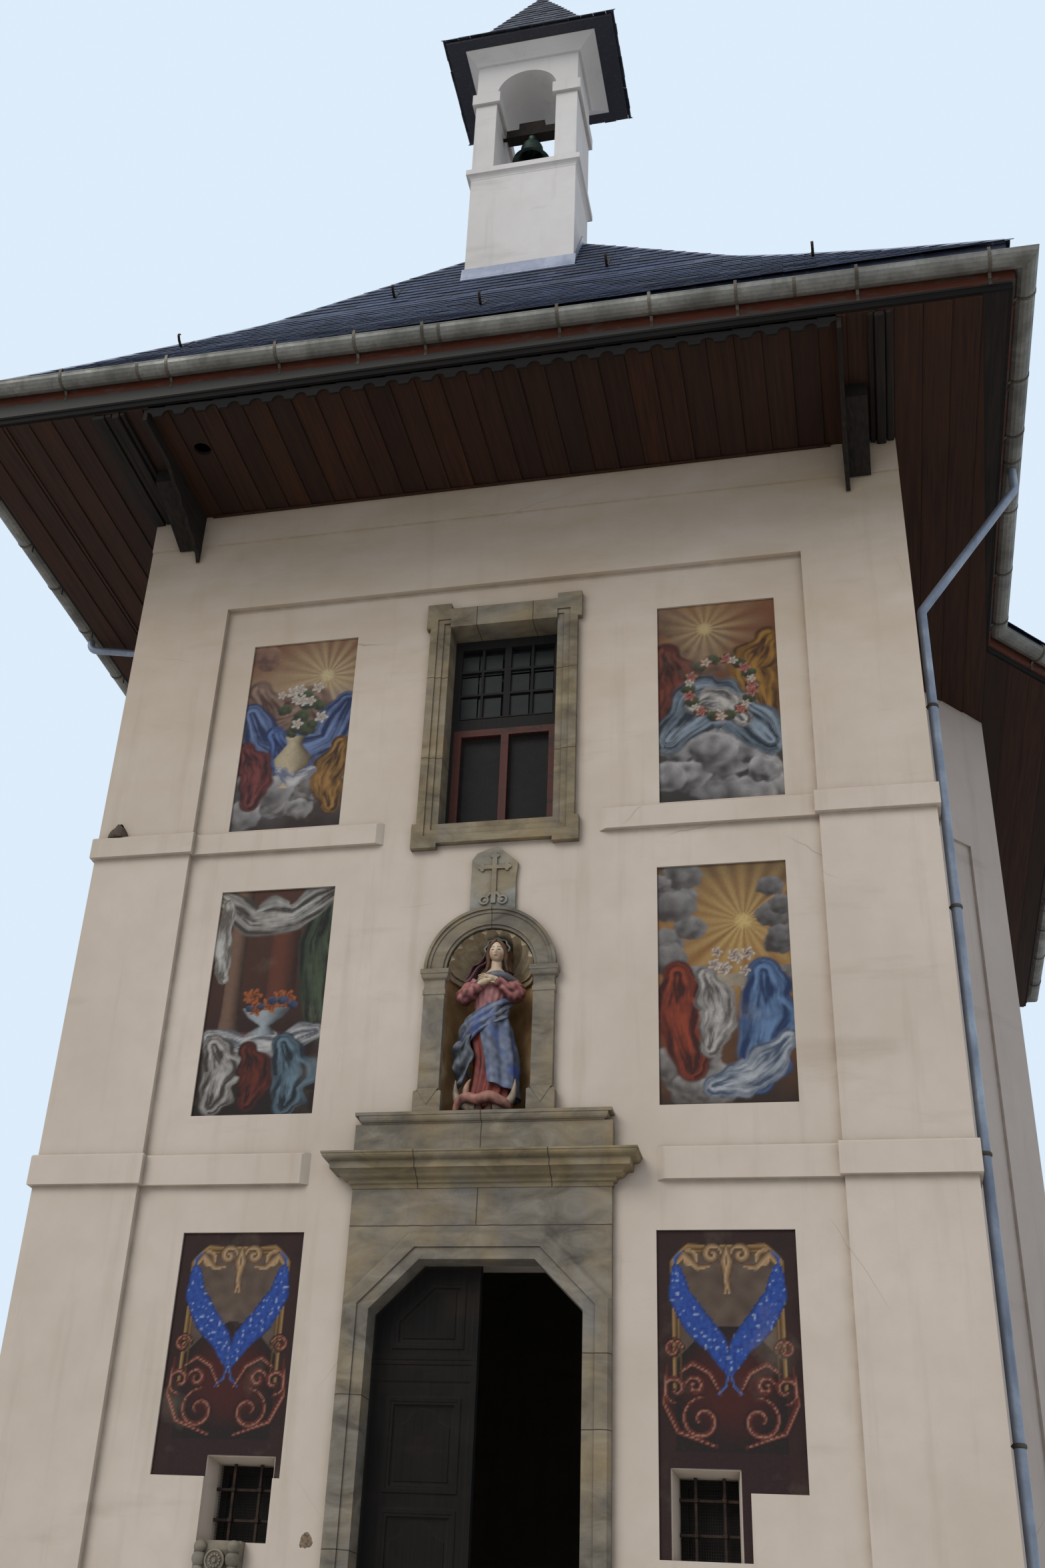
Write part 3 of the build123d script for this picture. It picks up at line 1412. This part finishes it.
def turret_shaft():
    """Rendered shaft with a moulded ledge."""
    z0, z1 = turret_ledge_top - turret_ledge_height, turret_ledge_top
    shaft = block(-turret_half, turret_half, turret_front, turret_back, wall_height, z1)
    out = turret_ledge_out
    profile = hollow_curve(2, z0 - 40, out, z0 + 20) + [(out, z1 - 12), (out - 12, z1)]
    return shaft + shaft_moulding(turret_half, turret_front, turret_back, profile)


def cornice_shape():
    """Hollow cornice under the turret's roof."""
    z0, z1 = turret_cornice_bottom, turret_cornice_bottom + turret_cornice_height
    out = turret_cornice_out
    profile = [(0, z0 - 1), (0, z0), (0.14 * out, z0 + 0.06 * turret_cornice_height)]
    profile += [(0.14 * out + 0.8 * out * t ** 1.4, z0 + (0.06 + 0.84 * t) * turret_cornice_height)
                for t in (0.25, 0.5, 0.75, 1.0)]
    profile += [(out, z1 - 0.06 * turret_cornice_height), (out, z1)]
    lean = turret_head_shift / turret_cornice_out
    return shaft_moulding(turret_half, turret_front, turret_back, profile, lean)


def belfry():
    """Two side walls with imposts, a barrel vault along Y and the hollow cornice."""
    z0, z1 = turret_ledge_top, turret_cornice_bottom
    mass = block(-turret_half, turret_half, turret_front, turret_back, z0, z1)
    ends = (turret_front - 10, turret_back + 10)
    void = block(-turret_opening, turret_opening, ends[0], ends[1], z0 - 5, turret_spring)
    mass = mass - void - disc_xz(0, turret_spring, turret_opening, ends[0], ends[1])
    out = turret_impost_out
    for sign in (-1, 1):
        edges = sorted((sign * (turret_opening - out), sign * (turret_half + out)))
        mass = mass + block(edges[0], edges[1], turret_front - out, turret_back + out,
                            turret_spring - turret_impost, turret_spring)
    bore = Pos(0, turret_axis_y, journal_z()) * Rot(0, 90, 0) * Cylinder(
        journal_radius + pin_gap, 2 * (turret_opening + journal_length + pin_gap))
    return mass + cornice_shape() - bore


def turret_roof():
    """Small steep pyramid with a flared foot on top of the cornice."""
    half_x, half_y = turret_half + turret_eave, turret_depth / 2 + turret_eave_front
    levels = [
        (turret_eave_level, half_x, half_y),
        (turret_eave_level + turret_eave_edge, half_x, half_y),
        (turret_break_level, half_x * turret_break_part, half_y * turret_break_part),
        (turret_apex, turret_tip, turret_tip),
    ]
    shapes = []
    for (za, xa, ya), (zb, xb, yb) in zip(levels, levels[1:]):
        low = Pos(turret_head_shift, turret_axis_y, za) * Rectangle(2 * xa, 2 * ya)
        high = Pos(turret_head_shift, turret_axis_y, zb) * Rectangle(2 * xb, 2 * yb)
        shapes.append(loft([low.face(), high.face()]))
    return combine(shapes)


def finial():
    """Rod and ball on the tip of the turret's roof."""
    foot = Pos(turret_head_shift, turret_axis_y, turret_apex)
    rod = foot * Pos(0, 0, finial_height / 2) * Cylinder(finial_radius, finial_height)
    return rod + foot * Pos(0, 0, 0.6 * finial_height) * Sphere(finial_ball)


def turret_flashing(slopes):
    """Zinc upstand round the turret's foot that follows the slopes."""
    gap = flashing_thickness
    z0, z1 = wall_height, turret_ledge_top - turret_ledge_height
    sleeve = block(-turret_half - gap, turret_half + gap, turret_front - gap, turret_back + gap, z0, z1)
    sleeve = sleeve - block(-turret_half, turret_half, turret_front, turret_back, z0, z1)
    return sleeve & (Pos(0, 0, roof_thickness) * combine(slopes))


def journal_z():
    return headstock_z + headstock_height * 0.4


def headstock():
    """Timber beam with a raised middle and iron journals."""
    z = headstock_z
    y = turret_axis_y
    beam_half = turret_opening - headstock_end_gap
    depth = headstock_depth / 2
    crown = headstock_crown_width / 2
    beam = block(-beam_half, beam_half, y - depth, y + depth, z, z + headstock_height)
    raised = block(-crown, crown, y - depth, y + depth, z + headstock_height,
                   z + headstock_height + headstock_crown_height)
    axle_length = 2 * (turret_opening + journal_length)
    axle = Pos(0, y, journal_z()) * Rot(0, 90, 0) * Cylinder(journal_radius, axle_length)
    return beam + raised + axle


def bell():
    """Cast bell: neck, shoulder, waist and flared lip, hollow."""
    y = turret_axis_y
    top = bell_top
    h = bell_height
    r = bell_mouth
    w = bell_wall
    neck = [(0, bell_neck), (bell_neck_radius, bell_neck), (bell_neck_radius, 0)]
    outer = [(0.34 * r, 0), (0.46 * r, -0.04 * h), (0.53 * r, -0.14 * h), (0.55 * r, -0.22 * h),
             (0.58 * r, -0.24 * h), (0.56 * r, -0.27 * h), (0.60 * r, -0.50 * h), (0.68 * r, -0.70 * h),
             (0.78 * r, -0.84 * h), (0.82 * r, -0.86 * h), (0.90 * r, -0.94 * h), (r, -h)]
    inner = [(r - w, -h), (0.80 * r - w, -0.88 * h), (0.68 * r - w, -0.72 * h), (0.60 * r - w, -0.50 * h),
             (0.55 * r - w, -0.24 * h), (0.50 * r - w, -0.17 * h), (0.30 * r, -bell_crown), (0, -bell_crown)]
    section = [Vector(px, y, top + pz) for px, pz in neck + outer + inner]
    face = Face(Wire.make_polygon(section, close=True))
    return revolve(face, axis=Axis((0, y, 0), (0, 0, 1)))


def clapper():
    y = turret_axis_y
    top = bell_top - bell_crown
    rod = Pos(0, y, top - clapper_length / 2) * Cylinder(clapper_rod, clapper_length)
    return rod + Pos(0, y, top - clapper_length - 10) * Sphere(clapper_ball)


def build_front():
    save(front_wall_side(-1), "front_wall_left")
    save(front_wall_side(1), "front_wall_right")
    save(front_wall_upper(), "front_wall_upper")
    save(facade_frame(), "facade_frame")
    save(Compound(children=lower_string()), "lower_string_course")
    save(Compound(children=upper_string()), "upper_string_course")
    save(threshold(), "threshold")
    portal = portal_shape()
    save(portal_jamb(portal, -1), "portal_jamb_left")
    save(portal_jamb(portal, 1), "portal_jamb_right")
    save(portal_head(portal), "portal_head")
    save(portal_cornice(), "portal_cornice")
    save(inscription_block(), "inscription_block")
    save(door_leaf(-1), "door_leaf_left")
    save(opened(door_leaf(1), 1, door_open_angle), "door_leaf_right")
    save(Compound(children=pintles(-1, pintle_radius, 0) + pintles(1, pintle_radius, 0)), "hinge_pins")
    save(niche_surround(), "niche_surround")
    save(Compound(children=niche_shell()), "niche_shell")
    save(statue(), "statue")
    save(cross_plaque(), "cross_plaque")
    save(window_surround(), "window_surround")
    save(window_frame(), "window_frame")
    save(window_screen(), "window_screen")
    save(window_glass(), "window_glass")
    save(Compound(children=[small_window(-1), small_window(1)]), "small_windows")
    save(Compound(children=painted_panels()), "painted_panels")
    save(carved_corbel(), "carved_corbel")


def build_body_and_roof():
    save(side_wall(-1), "side_wall_left")
    save(side_wall(1), "side_wall_right")
    save(back_wall(), "back_wall")
    save(floor_slab(), "floor_slab")
    save(soffit(), "soffit")
    save(fascia(), "fascia")
    save(eave_board(), "eave_board")
    save(valance(), "valance")
    save(Compound(children=[console(-1), console(1)]), "consoles")
    front, right, back, left = roof_slopes()
    hole = turret_hole()
    save(front - hole, "roof_front")
    save(right - hole, "roof_right")
    save(back, "roof_back")
    save(left - hole, "roof_left")
    save(Compound(children=hip_caps()), "hip_caps")
    save(gutter(), "gutter")
    save(Compound(children=[downpipe_left(), downpipe_right()]), "downpipes")
    save(turret_flashing([front, right, left]), "turret_flashing")


def build_turret():
    save(turret_shaft(), "turret_shaft")
    save(belfry(), "belfry")
    save(turret_roof(), "turret_roof")
    save(finial(), "finial")
    save(headstock(), "bell_headstock")
    save(bell(), "bell")
    save(clapper(), "bell_clapper")


build_front()
build_body_and_roof()
build_turret()
